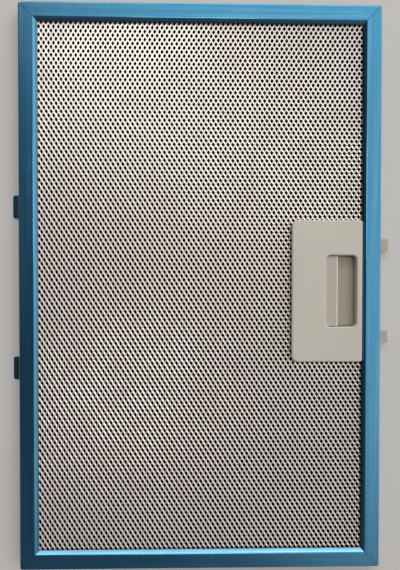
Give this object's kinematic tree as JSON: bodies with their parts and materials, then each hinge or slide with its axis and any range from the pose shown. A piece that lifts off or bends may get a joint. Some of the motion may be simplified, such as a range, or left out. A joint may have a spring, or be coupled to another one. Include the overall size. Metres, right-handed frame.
{
  "type": "cooker hood grease filter",
  "caption": "Rectangular aluminium mesh grease filter in a mitred channel frame with blue film, hook tabs on one side and a handle with a sprung sliding latch on the other.",
  "frame": {"origin": "middle of the footprint between the ends of the hook tabs and the latch tongues, on the plane of the rear face", "axes": "+X across the filter towards the latch, +Y along it, +Z from the rear face to the front face"},
  "size_m": [0.2698, 0.4, 0.009],
  "materials": {
    "filmed_aluminium": "brushed aluminium under a clear blue protective film",
    "rivet_aluminium": "plain",
    "mesh_aluminium": "bright expanded sheet",
    "foil_aluminium": "crimped foil mesh",
    "handle_plastic": "fine satin moulding, grey-beige",
    "slider_plastic": "fine satin moulding, grey-beige",
    "spring_steel": "drawn wire"
  },
  "bodies": {
    "filter": {"frame": "filmed_aluminium", "corner_rivet": "rivet_aluminium", "front_mesh": "mesh_aluminium", "inner_mesh_front": "foil_aluminium", "inner_mesh_middle": "foil_aluminium", "inner_mesh_rear": "foil_aluminium", "rear_mesh": "mesh_aluminium", "handle_cover": "handle_plastic", "latch_housing": "handle_plastic", "latch_spring_upper": "spring_steel", "latch_spring_lower": "spring_steel"},
    "latch": {"latch_slider": "slider_plastic"}
  },
  "joints": [
    {"name": "latch_slide", "type": "slide", "parent": "filter", "child": "latch", "axis": [-1, 0, 0], "range_m": [0, 0.0065], "stiffness_N_per_m": 700, "springref_m": -0.003, "deforming": ["latch_spring_upper", "latch_spring_lower"]}
  ]
}
